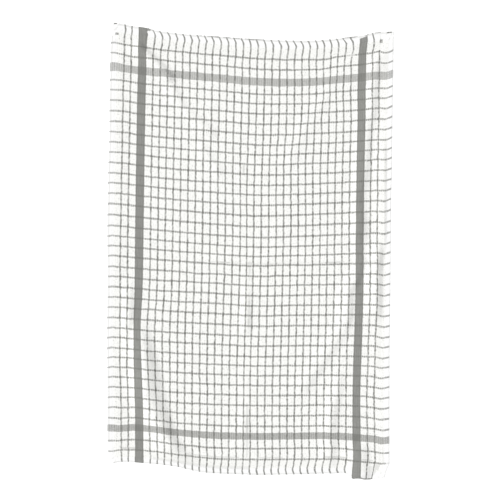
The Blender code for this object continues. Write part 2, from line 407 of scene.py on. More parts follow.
# The twist of the turned hems: slanting puckers between the edge and the stitches. Slow waves
# bring them early or late: the strength of each, and the mm in which it turns a radian.
PUCKER_PITCH = 9.5 * MM
PUCKER_SLANT = 0.75
PUCKER_HEIGHT = 0.38 * MM
PUCKER_FADE = 2 * MM
Wander = namedtuple("Wander", "strength radian")
WANDERS_DOWN = (Wander(0.4, 17), Wander(0.3, 41))
WANDERS_ACROSS = (Wander(0.4, 19), Wander(0.3, 37))

# Slow ripples of the whole sheet: the length in mm, heading in degrees and height in mm of each.
Ripple = namedtuple("Ripple", "length heading height")
RIPPLES = (
    Ripple(61, 20, 0.22),
    Ripple(47, 100, 0.20),
    Ripple(34, 65, 0.14),
    Ripple(29, 150, 0.12),
    Ripple(19, 85, 0.07),
)

# Spacing of the grid lines from an outer edge inwards, in mm. The rest is evenly spaced.
Stretch = namedtuple("Stretch", "until step")
SIDE_STRETCHES = (Stretch(1.3, 0.33), Stretch(7, 1.15), Stretch(10.5, 0.35), Stretch(15, 1.2))
END_STRETCHES = (Stretch(1.3, 0.33), Stretch(10, 1.1), Stretch(13.5, 0.35), Stretch(34, 1.9))
INNER_STEP_ACROSS = 3.4
INNER_STEP_DOWN = 3.6

# Hem stitches. The rows start a little inside the edges. Each stitch stands out by its rise and
# sinks in at its ends. Its width is the root of a half wave, cut off by a share at each end.
STITCH_ROW_INSET = 2 * MM
STITCH_LENGTH = 2.7 * MM
STITCH_PITCH = 3.2 * MM
STITCH_RADIUS = 0.24 * MM
STITCH_RISE = 0.6 * STITCH_RADIUS
STITCH_END_DIP = 0.5 * MM
STITCH_END_CUT = 0.16
STITCH_SIDES = 6
STITCH_STATIONS = 5

# ---- the check, in flat mm

Lines = namedtuple("Lines", "first pitch count")
CHECK = Lines(71, 12.45, 28)
WARP_LINES = (Lines(21, 12, 2), CHECK, Lines(443.05, 12, 2))
WEFT_LINES = (Lines(31, 18, 2), Lines(91.6, 17.2, 34), Lines(697.8, 18.2, 2))
Band = namedtuple("Band", "centre width share")
WARP_BANDS = (Band(52.05, 14.4, 0.89), Band(425.15, 13.7, 0.885))
WEFT_BANDS = (Band(70.5, 13.1, 0.67), Band(676.4, 12.2, 0.76))
WARP_LINE_WIDTH = 2.7
WEFT_LINE_WIDTH = 3.1
WARP_LINE_SHARE = 0.77
WEFT_LINE_SHARE = 0.67
RIB_PITCH = CHECK.pitch / 4
THREAD_PITCH = 0.62

# How soft edges are, in mm, and how soft above and below crosswise lines and marks.
SOFT_EDGE = 0.6
SHARP_EDGE = 0.5

# Random unevenness: the size of its blots across and down, in mm, and what sets them apart.
Blots = namedtuple("Blots", "across down seed")
FRAY = Blots(2.2, 3.4, 1)
BEADS = Blots(5.0, 3.6, 2)
STREAKS = Blots(0.9, 24.0, 3)
MOTTLE = Blots(1.6, 2.6, 4)
WARP_SLUBS = Blots(0.9, 14, 5)
WEFT_SLUBS = Blots(11, 0.9, 6)
SPECKS = Blots(1.5, 2.2, 7)
SWAY_RIGHT = Blots(11.0, 8.0, 8)
SWAY_DOWN = Blots(9.0, 11.0, 9)
VALLEY_PATCHES = Blots(2.4, 9.0, 10)
SEED_STEP = 7.3
SPECK_DETAIL = 2.0

# How far the lines sway and fray, in mm from one end of their reach to the other.
SWAY_RIGHT_REACH = 2.2
SWAY_DOWN_REACH = 2.0
WARP_LINE_FRAY = 1.1
WARP_BAND_FRAY = 1.2

# How much more or less grey shows (1 is all), by what makes it uneven.
WARP_LINE_BEADING = 1.2
BEADING_LOST_IN_HEM = 0.8
WARP_LINE_GAIN_IN_HEM = 0.1
WARP_BAND_STREAKING = 0.2
WARP_BAND_MOTTLING = 0.12
WARP_BAND_BORDER_GAIN = 0.06
WEFT_LINE_RIBBING = 0.5
WEFT_LINE_MOTTLING = 1.3
WEFT_LINE_GAIN_BETWEEN = 0.12
WEFT_LINE_EVENING = 0.7
WEFT_BAND_RIBBING = 0.3
WEFT_BAND_MOTTLING = 0.6
WEFT_OVER_WARP = 0.9
CROSSING_GAIN = 0.1

# The crosswise lines show more in the right hem: from where to where that comes in, in mm.
RIGHT_HEM_FROM = 464
RIGHT_HEM_TO = 471
RIGHT_HEM_GAIN = 0.1

# The borders of the bands: how far in they lie, and how wide and soft they are, in mm.
BORDER_INSET = 1.1
BORDER_HALF_WIDTH = 0.8
BORDER_SOFT = 0.5

# Dust in the white, and painted shade in the valleys between the ribs, deeper in patches: the
# levels of noise that count, and the grey they add.
SPECK_LEVELS = (0.52, 0.74)
SPECK_GREY = 0.36
VALLEY_PATCH_LEVELS = (0.45, 0.70)
VALLEY_PATCH_GREY = 0.10
VALLEY_SHADE = 0.02
GREY_LOST_IN_HEM = 0.7

# The relief of the weave and of the sewing thread's plies, in mm.
THREAD_RELIEF = 0.05
RIB_RELIEF = 0.09
SLUB_RELIEF = 0.10
PLY_PITCH = 0.45
PLY_RELIEF = 0.08

# Places in flat mm where grey shows beside the check: yarn at the turned edges, and painted
# shade along the turned edges, in the hems, along the sharpest creases and along the foot seam.
Mark = namedtuple("Mark", "across_from across_to down_from down_to share")
YARN_AND_SHADE_MARKS = (
    # The left band, turned over the top edge.
    Mark(45.6, 60, -1, 2.4, 0.85),
    Mark(58, 64, -1, 4.4, 0.85),
    Mark(63.4, 67.6, -1, 3, 0.75),
    # A dash and a spot at the top left corner.
    Mark(2.6, 7.8, -1, 2.4, 0.9),
    Mark(10.5, 14, -0.5, 2, 0.35),
    Mark(7, 11.6, 14.8, 18, 0.85),
    # Bits of yarn along the top edge.
    Mark(149, 154, -1, 2.4, 0.5),
    Mark(163, 183, -1, 2.3, 0.6),
    Mark(176, 182, -1, 2.6, 0.8),
    Mark(190, 203, -1, 2.2, 0.65),
    Mark(206, 218, -1, 2.2, 0.6),
    Mark(226, 258, -1, 2.1, 0.65),
    Mark(232, 241, -1, 2.5, 0.75),
    Mark(298, 322, -1, 1.8, 0.3),
    Mark(394, 417, -1, 2, 0.6),
    Mark(406, 414, -1, 2.4, 0.7),
    # Loose yarn beside the right band's top.
    Mark(428, 432.4, 1.6, 4.4, 0.7),
    Mark(431.4, 435.6, -0.6, 2, 0.6),
    # Yarn at the top right corner.
    Mark(447, 458, -1, 2, 0.6),
    Mark(458, 469, -1, 1.2, 0.3),
    Mark(468, 477, -1, 2.6, 0.9),
    Mark(454.6, 459.2, 11, 16.5, 0.75),
    # Painted shade, a little grey, along the turned edges and in the hems.
    Mark(8, 470, -1, 3.8, 0.2),
    Mark(0.6, 3.8, 20, 700, 0.18),
    Mark(20, 416, 741.2, 746, 0.15),
    Mark(60, 410, 718, 729, 0.07),
    Mark(75, 245, 728, 735, 0.17),
    Mark(457.4, 464.6, 250, 560, 0.09),
    Mark(463, 472, 34, 47, 0.09),
    Mark(461, 472, 52, 63, 0.11),
    # Painted shade along the crease across the middle.
    Mark(172, 203, 379.5, 381.7, 0.20),
    Mark(188, 204, 379.3, 381.9, 0.34),
    Mark(203, 300, 379.7, 381.5, 0.18),
    Mark(232, 247, 376.8, 381.8, 0.26),
    Mark(303, 330, 379.8, 381.4, 0.12),
    Mark(355, 400, 379.6, 381.6, 0.18),
    Mark(366, 393, 379.3, 381.9, 0.32),
    Mark(434, 452, 379, 382, 0.22),
    # Painted shade along the crease down the middle.
    Mark(224.5, 228.5, 213, 230, 0.28),
    Mark(238, 240.8, 374, 410, 0.16),
    Mark(238, 240.8, 431, 490, 0.16),
    Mark(237.6, 241.2, 444, 455, 0.26),
    Mark(237.6, 241.2, 476, 489, 0.26),
    Mark(238.2, 241.2, 620, 713, 0.20),
    Mark(237.8, 241.6, 640, 672, 0.28),
    # Painted shade along the seam of the foot hem.
    Mark(21, 50, 710.8, 714.4, 0.34),
    Mark(135, 226, 711.4, 713.6, 0.28),
    Mark(260, 300, 711.4, 713.6, 0.24),
    Mark(332, 339, 712, 720, 0.22),
    Mark(370, 406, 711.2, 713.8, 0.36),
    Mark(425, 452, 711.2, 713.6, 0.26),
    # The foot's turned edge.
    Mark(404, 413, 743.4, 746, 0.30),
    Mark(430, 456, 741.8, 746, 0.75),
    Mark(0, 22, 741.8, 746, 0.2),
    # Painted shade in streaks and creases at the foot's right corner.
    Mark(445.8, 452.6, 722, 744, 0.16),
    Mark(456.6, 464, 718, 728, 0.28),
    Mark(455.6, 460, 728, 737, 0.24),
    Mark(461, 463, 687, 714, 0.16),
    Mark(467.6, 469.6, 687, 714, 0.16),
)

# Places in flat mm where a turned edge or a crease hides the grey.
BARE = (
    # Beside the left band's turned top.
    Mark(58, 66, 5.4, 8, 0.8),
    # The right band's top.
    Mark(411, 420.6, -1, 5, 0.95),
    Mark(420, 424.6, -1, 4.4, 0.95),
    Mark(424, 434, -1, 3.8, 0.95),
    # The last lengthwise line's top.
    Mark(450, 460, 1.4, 10.6, 0.85),
    Mark(451, 460, 16.9, 28.4, 0.85),
    # Ends of crosswise lines.
    Mark(396, 412, 28, 34, 0.5),
    Mark(474, 480, 712, 720, 0.7),
)

WHITE_YARN = (0.860, 0.860, 0.838, 1)
HEM_WHITE = (0.875, 0.875, 0.870, 1)
GREY_YARN = (0.165, 0.166, 0.153, 1)
SEWING_WHITE = (0.88, 0.88, 0.87, 1)
SEWING_SHADE = (0.70, 0.70, 0.69, 1)
PLY_SHADE = 0.3
FLOOR_COLOUR = (0.86, 0.86, 0.86, 1)
WHITE_LIGHT = (1, 1, 1, 1)

# What the surfaces are like under light.
Surface = namedtuple("Surface", "name roughness sheen")
COTTON = Surface("woven_cotton", 0.92, 0.08)
SEWING = Surface("sewing_thread", 0.75, 0.05)
FLOOR = Surface("pale_floor", 0.9, 0.0)
SPECULAR = 0.2
SHEEN_ROUGHNESS = 0.6
WEAVE_BUMP = 0.6
PLY_BUMP = 0.5

# ---- camera and light

PHOTO_SPAN = 850 * MM
PHOTO_MIDDLE = (-1.7 * MM, 0.85 * MM)
CAMERA_HEIGHT = 2.2
SENSOR_WIDTH = 36.0
FLOOR_SIZE = 40.0
FLOOR_GLOW = 0.4
SKY_STRENGTH = 0.70
KEY_STRENGTH = 2.4
KEY_WIDTH_DEGREES = 25
KEY_TILT_DEGREES = 50
KEY_HEADING_DEGREES = 247


# ---- laying the cloth


def smooth_through(places, values, at):
    """The smooth curve through values at places, read at each number of at.

    The values are numbers, or rows that hold one number for each number of at.
    """
    places = np.asarray(places, float)
    values = np.asarray(values, float)
    slopes = np.gradient(values, places, axis=0)
    first = np.clip(np.searchsorted(places, at) - 1, 0, len(places) - 2)
    span = places[first + 1] - places[first]
    f = np.clip((at - places[first]) / span, 0, 1)

    def read(rows, index):
        if rows.ndim == 1:
            return rows[index]
        return np.take_along_axis(rows, index[None], 0)[0]

    start = read(values, first) * (1 + 2 * f) * (1 - f) ** 2
    start_slope = read(slopes, first) * span * f * (1 - f) ** 2
    end = read(values, first + 1) * (3 - 2 * f) * f**2
    end_slope = read(slopes, first + 1) * span * (f - 1) * f**2
    return start + start_slope + end + end_slope


def smooth_step(x):
    """Rises smoothly from 0 to 1 as x goes from 0 to 1."""
    x = np.clip(x, 0, 1)
    return x * x * (3 - 2 * x)


def read_table(places, rows, across, down):
    """A table's value in metres at each point of the flat cloth."""
    at_rows = [smooth_through(places[1:], row[1:], across / MM) for row in rows]
    return smooth_through([row.down for row in rows], at_rows, down / MM) * MM


def foot_step(across, down):
    """How far the foot hem lies lower at each point."""
    past = smooth_step((across - FOOT_STEP_ACROSS) / FOOT_STEP_RUN + 0.5)
    return FOOT_STEP_DROP * past * smooth_step(1 - (LENGTH - down) / FOOT_STEP_REACH)


def read_column(rows, column, at):
    """One column of a table, read at each place in metres along its first column."""
    places = [row[0] for row in rows]
    values = [getattr(row, column) for row in rows]
    return smooth_through(places, values, at / MM) * MM


def edge_moves(across, down):
    """How far each point goes to the right and upwards with the nearest edges."""
    from_left = smooth_step(1 - across / EDGE_REACH)
    from_right = smooth_step(1 - (WIDTH - across) / EDGE_REACH)
    from_top = smooth_step(1 - down / EDGE_REACH)
    from_foot = smooth_step(1 - (LENGTH - down) / EDGE_REACH)
    right = read_column(LONG_EDGES, "left", down) * from_left
    right = right + read_column(LONG_EDGES, "right", down) * from_right
    up = read_column(SHORT_EDGES, "top", across) * from_top
    up = up + read_column(SHORT_EDGES, "foot", across) * from_foot
    return right, up


def along_and_off(fold, x, y):
    """Where each point lies along a fold, from 0 to 1, how far off it, and its left side."""
    run_x = (fold.end_x - fold.start_x) * MM
    run_y = (fold.end_y - fold.start_y) * MM
    length = np.hypot(run_x, run_y)
    side_x, side_y = -run_y / length, run_x / length
    from_x = x - fold.start_x * MM
    from_y = y - fold.start_y * MM
    along = np.clip((from_x * run_x + from_y * run_y) / length**2, 0, 1)
    off = from_x * side_x + from_y * side_y - fold.bow * MM * 4 * along * (1 - along)
    return along, off, (side_x, side_y)


def fold_strength(along):
    """1 in the middle of a fold's run, and 0 at its ends."""
    return smooth_step(along / FOLD_END) * smooth_step((1 - along) / FOLD_END)


def draw_in(x, y):
    """Moves the cloth beside each fold towards it, by what the fold takes up."""
    for fold in FOLDS:
        along, off, side = along_and_off(fold, x, y)
        reach = np.tanh(off / (fold.half_width * MM)) * np.exp(-np.abs(off) / DRAW_FADE)
        move = fold.draw * MM * fold_strength(along) * reach
        x = x - move * side[0]
        y = y - move * side[1]
    return x, y


def lie(across, down):
    """Where each point of the flat cloth lies on the surface."""
    x = across - WIDTH / 2 + read_table(DRIFT_ACROSS, DRIFTS, across, down)
    y = LENGTH / 2 - down + read_table(BOW_ACROSS, BOWS, across, down)
    y = y - foot_step(across, down)
    for corner in CORNERS:
        away = np.hypot(across - corner.across * MM, down - corner.down * MM)
        share = smooth_step(1 - away / (corner.reach * MM))
        x = x + corner.pull_right * MM * share
        y = y + corner.pull_up * MM * share
    x = x + read_table(END_DRAG_ACROSS, END_DRAGS, across, down)
    y = y + read_table(SIDE_DRAG_ACROSS, SIDE_DRAGS, across, down)
    y = y + read_column(SLIPS, "up", down)
    for tug in TUGS:
        way_across = (across / MM - tug.across) / tug.reach_across
        way_down = (down / MM - tug.down) / tug.reach_down
        share = smooth_step(1 - np.hypot(way_across, way_down))
        x = x + tug.right * MM * share
        y = y + tug.up * MM * share
    x, y = draw_in(x, y)
    right, up = edge_moves(across, down)
    return x + right, y + up


def swell(fold, y):
    """A fold's share of its height, its shift and its spread at each place along it."""
    rows = SWELLS.get(fold.name)
    if rows is None:
        return 1, 0, 0
    places = [-row.y for row in rows]
    columns = zip(*(row[1:] for row in rows))
    share, shift, spread = (smooth_through(places, column, -y / MM) for column in columns)
    return share, shift * MM, spread * MM


def lift(x, y):
    """How high the folds hold the underside off the surface at each place."""
    height = np.zeros_like(x)
    for fold in FOLDS:
        along, off, _ = along_and_off(fold, x, y)
        share, shift, spread = swell(fold, y)
        off = off - shift + spread
        steep = fold.half_width * MM + spread
        reach = np.where(off > 0, steep, fold.half_width * MM * GENTLE_SIDE)
        ridge = smooth_step(1 - np.abs(off) / reach)
        height = np.maximum(height, share * fold.height * MM * ridge * fold_strength(along))
    return height


# ---- the sheet's two faces


def unevenness(across, down):
    """The sheet's slow ripples, 0 where it touches the surface."""
    height = np.zeros_like(across)
    for ripple in RIPPLES:
        heading = np.radians(ripple.heading)
        way = across * np.cos(heading) + down * np.sin(heading)
        height = height + ripple.height * MM * np.sin(2 * np.pi * way / (ripple.length * MM))
    return np.maximum(height, 0)


def edge_distances(across, down):
    """How far each point is from the nearer side edge and the nearer end edge."""
    return np.minimum(across, WIDTH - across), np.minimum(down, LENGTH - down)


def hem_share(from_edge, hem, slope):
    """1 on a hem and 0 inside it, sloping down over the given run."""
    return smooth_step(1 - (from_edge - hem) / slope)


def groove(from_edge, hem):
    """1 along the row of stitches of a hem, and 0 away from it."""
    return np.exp(-(((from_edge - hem + STITCH_INSET) / STITCH_GROOVE) ** 2))


def puckers_along(along, from_edge, hem, wanders):
    """The ridges across one pair of hems, from -1 to 1, and 0 away from them."""
    on_hem = hem_share(from_edge, hem - STITCH_INSET, PUCKER_FADE)
    on_hem = on_hem * smooth_step(from_edge / PUCKER_FADE)
    wander = sum(part.strength * np.sin(along / (part.radian * MM)) for part in wanders)
    turn = 2 * np.pi / PUCKER_PITCH
    return on_hem * np.sin(turn * (along + PUCKER_SLANT * from_edge) + wander)


def puckers(side, end, across, down):
    """The slanting ridges that the twist of the turned hems raises."""
    on_sides = puckers_along(down, side, SIDE_HEM, WANDERS_DOWN)
    on_ends = puckers_along(across, end, END_HEM, WANDERS_ACROSS)
    return PUCKER_HEIGHT * np.maximum(on_sides, on_ends)


def faces(across, down):
    """Where each point of the flat cloth lies, and the heights of its underside and its face."""
    x, y = lie(across, down)
    side, end = edge_distances(across, down)
    extra = HEM_THICKNESS - SHEET_THICKNESS
    on_side = hem_share(side, SIDE_HEM, SIDE_HEM_SLOPE)
    on_end = hem_share(end, END_HEM, END_HEM_SLOPE)
    floor = lift(x, y) + unevenness(across, down) * (1 - np.maximum(on_side, on_end))

    top = SHEET_THICKNESS + extra * np.maximum(on_side, on_end) + CORNER_PLY * on_side * on_end
    top = top + puckers(side, end, across, down)
    sewn = np.maximum(groove(side, SIDE_HEM), groove(end, END_HEM))
    top = top - STITCH_SINK_TOP * sewn

    past_lip = np.minimum((side - SIDE_HEM) / HEM_LIP, (end - END_HEM) / HEM_LIP)
    gap = np.clip(past_lip, 0, 1) * HEM_LIP_RISE * extra * np.maximum(on_side, on_end)
    under = gap + STITCH_SINK_UNDER * sewn

    edge = np.clip(np.minimum(side, end) / EDGE_ROUND, 0, 1)
    round_off = np.sqrt(1 - (1 - edge) ** 2)
    middle = (top + under) / 2
    half = (top - under) / 2 * round_off
    return x + SHIFT_RIGHT, y + SHIFT_UP, floor + middle - half, floor + middle + half


def grid_lines(size, stretches, inner_step):
    """Places of the grid lines from one edge to the other, in metres."""
    lines = [0.0]
    for stretch in stretches:
        start = lines[-1]
        count = max(1, round((stretch.until - start) / stretch.step))
        lines.extend(np.linspace(start, stretch.until, count + 1)[1:])
    outer = np.array(lines) * MM
    span = size - 2 * outer[-1]
    count = round(span / (inner_step * MM))
    inner = np.linspace(outer[-1], size - outer[-1], count + 1)[1:-1]
    return np.concatenate([outer, inner, (size - outer)[::-1]])


def sheet_faces(columns, rows):
    """The corners of each square of the face and of the underside, which share their rim."""
    index = np.arange(columns * rows).reshape(rows, columns)
    under = index + columns * rows
    rim = np.zeros((rows, columns), bool)
    rim[[0, -1], :] = True
    rim[:, [0, -1]] = True
    under[rim] = index[rim]
    squares = []
    for grid, order in ((index, (0, 1, 2, 3)), (under, (3, 2, 1, 0))):
        corners = (grid[1:, :-1], grid[1:, 1:], grid[:-1, 1:], grid[:-1, :-1])
        squares.append(np.stack([corners[place] for place in order], -1).reshape(-1, 4))
    return np.concatenate(squares)


def add_object(name, data):
    """An object in the scene, made of the given data."""
    obj = bpy.data.objects.new(name, data)
    bpy.context.scene.collection.objects.link(obj)
    return obj


def add_mesh(name, points, polygons, material):
    """A smooth mesh object in the scene."""
    mesh = bpy.data.meshes.new(name)
    mesh.from_pydata(points, [], polygons)
    mesh.materials.append(material)
    mesh.shade_smooth()
    return add_object(name, mesh)


def add_map(mesh, name, places):
    """A UV map that holds one place for each corner of the mesh."""
    mesh.uv_layers.new(name=name).uv.foreach_set("vector", places.astype(np.float32).ravel())


def make_cloth():
    """The closed woven sheet."""
    lines_across = grid_lines(WIDTH, SIDE_STRETCHES, INNER_STEP_ACROSS)
    lines_down = grid_lines(LENGTH, END_STRETCHES, INNER_STEP_DOWN)
    across, down = (grid.ravel() for grid in np.meshgrid(lines_across, lines_down))
    x, y, under, top = faces(across, down)
    points = np.concatenate([np.stack([x, y, top], -1), np.stack([x, y, under], -1)])
    polygons = sheet_faces(len(lines_across), len(lines_down))

    used = np.unique(polygons)
    renumber = np.zeros(len(points), int)
    renumber[used] = np.arange(len(used))
    cloth = add_mesh("cloth", points[used], renumber[polygons].tolist(), cloth_material())

    plan = np.stack([across, down], -1)
    corners = polygons.ravel() % len(across)
    add_map(cloth.data, "plan", plan[corners])
    add_map(cloth.data, "OFBake", bake_places(plan[corners], polygons))
    return cloth


def bake_places(plan, polygons):
    """The face and the underside side by side in the unit square."""
    margin = 0.01
    island = 0.5 - 2 * margin
    is_under = np.repeat(np.arange(len(polygons)) >= len(polygons) // 2, 4)
    u = margin + island * plan[:, 0] / WIDTH + 0.5 * is_under
    v = 1 - margin - (1 - 2 * margin) * plan[:, 1] / LENGTH
    return np.stack([u, v], -1)


# ---- hem stitches


def stitch_rows():
    """The start and the end of each row of stitches on the flat cloth."""
    side = SIDE_HEM - STITCH_INSET
    end = END_HEM - STITCH_INSET
    start = STITCH_ROW_INSET
    return (
        ((start, end), (WIDTH - start, end)),
        ((start, LENGTH - end), (WIDTH - start, LENGTH - end)),
        ((side, start), (side, LENGTH - start)),
        ((WIDTH - side, start), (WIDTH - side, LENGTH - start)),
    )


def stitch_centrelines():
    """Points along each stitch on the flat cloth: stitches, stations, (across, down)."""
    along = np.linspace(-0.5, 0.5, STITCH_STATIONS) * STITCH_LENGTH
    stitches = []
    for start, end in stitch_rows():
        start, end = np.array(start), np.array(end)
        length = np.hypot(*(end - start))
        way = (end - start) / length
        count = int(length / STITCH_PITCH)
        middles = (np.arange(count) + 0.5) * length / count
        places = middles[:, None] + along
        stitches.append(start + places[..., None] * way)
    return np.concatenate(stitches)


def tubes(paths, radius, sides):
    """Points and polygons of a round, closed tube along each path of points."""
    count, stations, _ = paths.shape
    way = np.gradient(paths, axis=1)
    way /= np.linalg.norm(way, axis=2, keepdims=True)
    across = np.cross(way, (0, 0, 1))
    across /= np.linalg.norm(across, axis=2, keepdims=True)
    above = np.cross(across, way)
    turn = np.arange(sides) * 2 * np.pi / sides
    ends = np.sqrt(np.sin(np.linspace(STITCH_END_CUT, 1 - STITCH_END_CUT, stations) * np.pi))
    ring = across[:, :, None] * np.cos(turn)[:, None] + above[:, :, None] * np.sin(turn)[:, None]
    points = paths[:, :, None] + radius * ends[:, None, None] * ring

    index = np.arange(count * stations * sides).reshape(count, stations, sides)
    turned = np.roll(index, -1, axis=2)
    walls = np.stack([index[:, :-1], turned[:, :-1], turned[:, 1:], index[:, 1:]], -1)
    polygons = walls.reshape(-1, 4).tolist()
    polygons += index[:, 0, ::-1].tolist()
    polygons += index[:, -1].tolist()
    return points.reshape(-1, 3), polygons


def make_stitches(name, on_top, material):
    """One row of sunk stitches along each hem, on the face or on the underside."""
    plan = stitch_centrelines()
    shape = plan.shape[:2]
    x, y, under, top = faces(plan[..., 0].ravel(), plan[..., 1].ravel())
    dip = STITCH_END_DIP * np.abs(np.linspace(-1, 1, STITCH_STATIONS)) ** 3
    dip = np.tile(dip, shape[0])
    z = top + STITCH_RISE - dip if on_top else under - STITCH_RISE + dip
    paths = np.stack([x, y, z], -1).reshape(*shape, 3)
    stitches = add_mesh(name, *tubes(paths, STITCH_RADIUS, STITCH_SIDES), material)
    points = np.repeat(plan.reshape(-1, 2), STITCH_SIDES, axis=0)
    corners = np.array([loop.vertex_index for loop in stitches.data.loops])
    add_map(stitches.data, "plan", points[corners])
    return stitches


# ---- materials


class Field:
    """A number that changes over a surface, worked out by shader nodes."""

    def __init__(self, tree, socket):
        self.tree = tree
        self.socket = socket

    def math(self, operation, *others):
        node = self.tree.nodes.new("ShaderNodeMath")
        node.operation = operation
        for socket, value in zip(node.inputs, (self, *others)):
            feed(self.tree, value, socket)
        return Field(self.tree, node.outputs[0])

    def __add__(self, other):
        return self.math("ADD", other)

    __radd__ = __add__

    def __sub__(self, other):
        return self.math("SUBTRACT", other)

    def __rsub__(self, other):
        return (self * -1) + other

    def __mul__(self, other):
        return self.math("MULTIPLY", other)

    __rmul__ = __mul__

    def __truediv__(self, other):
        return self.math("DIVIDE", other)

    def __abs__(self):
        return self.math("ABSOLUTE")

    def least(self, other):
        return self.math("MINIMUM", other)

    def most(self, other):
        return self.math("MAXIMUM", other)


def feed(tree, value, socket):
    """Links a field to a socket, or sets a plain value on it."""
    if isinstance(value, Field):
        tree.links.new(value.socket, socket)
    else:
        socket.default_value = value


def rise(field, low, high):
    """0 on low's side and 1 on high's side, smooth between them."""
    node = field.tree.nodes.new("ShaderNodeMapRange")
    node.interpolation_type = "SMOOTHSTEP"
    feed(field.tree, field, node.inputs["Value"])
    feed(field.tree, low, node.inputs["From Min"])
    feed(field.tree, high, node.inputs["From Max"])
    return Field(field.tree, node.outputs["Result"])


def within(off, half_width, soft):
    """1 up to half_width from a line, and 0 beyond it, over a soft edge."""
    return rise(off, half_width + soft, half_width - soft)


def between(place, start, end, soft):
    """1 from start to end, and 0 outside them, over soft edges."""
    return within(abs(place - (start + end) / 2), (end - start) / 2, soft)


def noise(across, down, blots, detail=1.0):
    """Smooth noise from 0 to 1, in blots of the given size."""
    tree = across.tree
    combine = tree.nodes.new("ShaderNodeCombineXYZ")
    feed(tree, across / blots.across, combine.inputs["X"])
    feed(tree, down / blots.down, combine.inputs["Y"])
    combine.inputs["Z"].default_value = blots.seed * SEED_STEP
    texture = tree.nodes.new("ShaderNodeTexNoise")
    texture.inputs["Scale"].default_value = 1
    texture.inputs["Detail"].default_value = detail
    tree.links.new(combine.outputs[0], texture.inputs["Vector"])
    return Field(tree, texture.outputs["Fac"])


def mix_colour(tree, share, first, second):
    """The colour between two colours or sockets, at a share from 0 to 1."""
    node = tree.nodes.new("ShaderNodeMix")
    node.data_type = "RGBA"
    colours = [socket for socket in node.inputs if socket.type == "RGBA"]
    feed(tree, share, node.inputs["Factor"])
    for socket, colour in zip(colours, (first, second)):
        feed(tree, colour, socket)
    result = [socket for socket in node.outputs if socket.type == "RGBA"][0]
    return Field(tree, result)


def flat_places(tree):
    """Where on the flat cloth a point is: across and down, in mm."""
    plan = tree.nodes.new("ShaderNodeUVMap")
    plan.uv_map = "plan"
    parts = tree.nodes.new("ShaderNodeSeparateXYZ")
    tree.links.new(plan.outputs[0], parts.inputs[0])
    return Field(tree, parts.outputs["X"]) / MM, Field(tree, parts.outputs["Y"]) / MM


def off_lines(place, groups):
    """How far a place is from the nearest line of several evenly spaced groups."""
    nearest = None
    for lines in groups:
        step = ((place - lines.first) / lines.pitch).math("ROUND").most(0).least(lines.count - 1)
        off = abs(place - lines.first - step * lines.pitch)
        nearest = off if nearest is None else nearest.least(off)
    return nearest


def band_share(place, bands):
    """The bands' shares of grey inside them, and 0 outside them."""
    total = 0
    for band in bands:
        total = total + within(abs(place - band.centre), band.width / 2, SOFT_EDGE) * band.share
    return total


def band_borders(place, bands):
    """1 along the two borders of each band."""
    total = 0
    for band in bands:
        off = abs(abs(place - band.centre) - band.width / 2 + BORDER_INSET)
        total = total + within(off, BORDER_HALF_WIDTH, BORDER_SOFT)
    return total


def wave(place, pitch, start=0.0):
    """1 at the start and every pitch after it, and 0 half way between."""
    return ((place - start) * (2 * np.pi / pitch)).math("COSINE") * 0.5 + 0.5


def patches(across, down, marks):
    """The strongest share of the marks at each place, and 0 away from them."""
    strongest = 0
    for mark in marks:
        on_it = between(across, mark.across_from, mark.across_to, SOFT_EDGE)
        on_it = on_it * between(down, mark.down_from, mark.down_to, SHARP_EDGE)
        strongest = (on_it * mark.share).most(strongest)
    return strongest


Uneven = namedtuple("Uneven", "fray beads streaks mottle")


def warp_grey(across, swayed, uneven, end_hem):
    """The grey along the lengthwise lines, and along them and the bands together."""
    off = off_lines(swayed, WARP_LINES) + uneven.fray * WARP_LINE_FRAY
    beads = uneven.beads * (WARP_LINE_BEADING - end_hem * BEADING_LOST_IN_HEM)
    shown = WARP_LINE_SHARE + end_hem * WARP_LINE_GAIN_IN_HEM + beads
    lines = within(off, WARP_LINE_WIDTH / 2, SOFT_EDGE) * shown

    bands = band_share(across + uneven.fray * WARP_BAND_FRAY, WARP_BANDS)
    band_shown = 1 + uneven.streaks * WARP_BAND_STREAKING + uneven.mottle * WARP_BAND_MOTTLING
    band_shown = band_shown + band_borders(across, WARP_BANDS) * WARP_BAND_BORDER_GAIN
    return lines, lines.most(bands * band_shown).least(1)


def weft_grey(across, swayed, uneven, side_hem, valley):
    """The grey along the crosswise lines, and along them and the bands together."""
    off = off_lines(swayed, WEFT_LINES) + uneven.fray
    ribbing = valley - 0.5
    between_warps = wave(across, CHECK.pitch, CHECK.first + CHECK.pitch / 2)
    dashes = WEFT_LINE_SHARE + ribbing * WEFT_LINE_RIBBING
    dashes = dashes + between_warps * WEFT_LINE_GAIN_BETWEEN
    dashes = dashes + uneven.mottle * WEFT_LINE_MOTTLING
    evened = (WEFT_LINE_SHARE - dashes) * side_hem * WEFT_LINE_EVENING
    at_right_hem = rise(across, RIGHT_HEM_FROM, RIGHT_HEM_TO) * RIGHT_HEM_GAIN
    shown = dashes + evened + at_right_hem
    lines = within(off, WEFT_LINE_WIDTH / 2, SHARP_EDGE) * shown

    bands = band_share(swayed, WEFT_BANDS)
    band_shown = 1 + ribbing * WEFT_BAND_RIBBING + uneven.mottle * WEFT_BAND_MOTTLING
    return lines, lines.most(bands * band_shown).most(0).least(1)


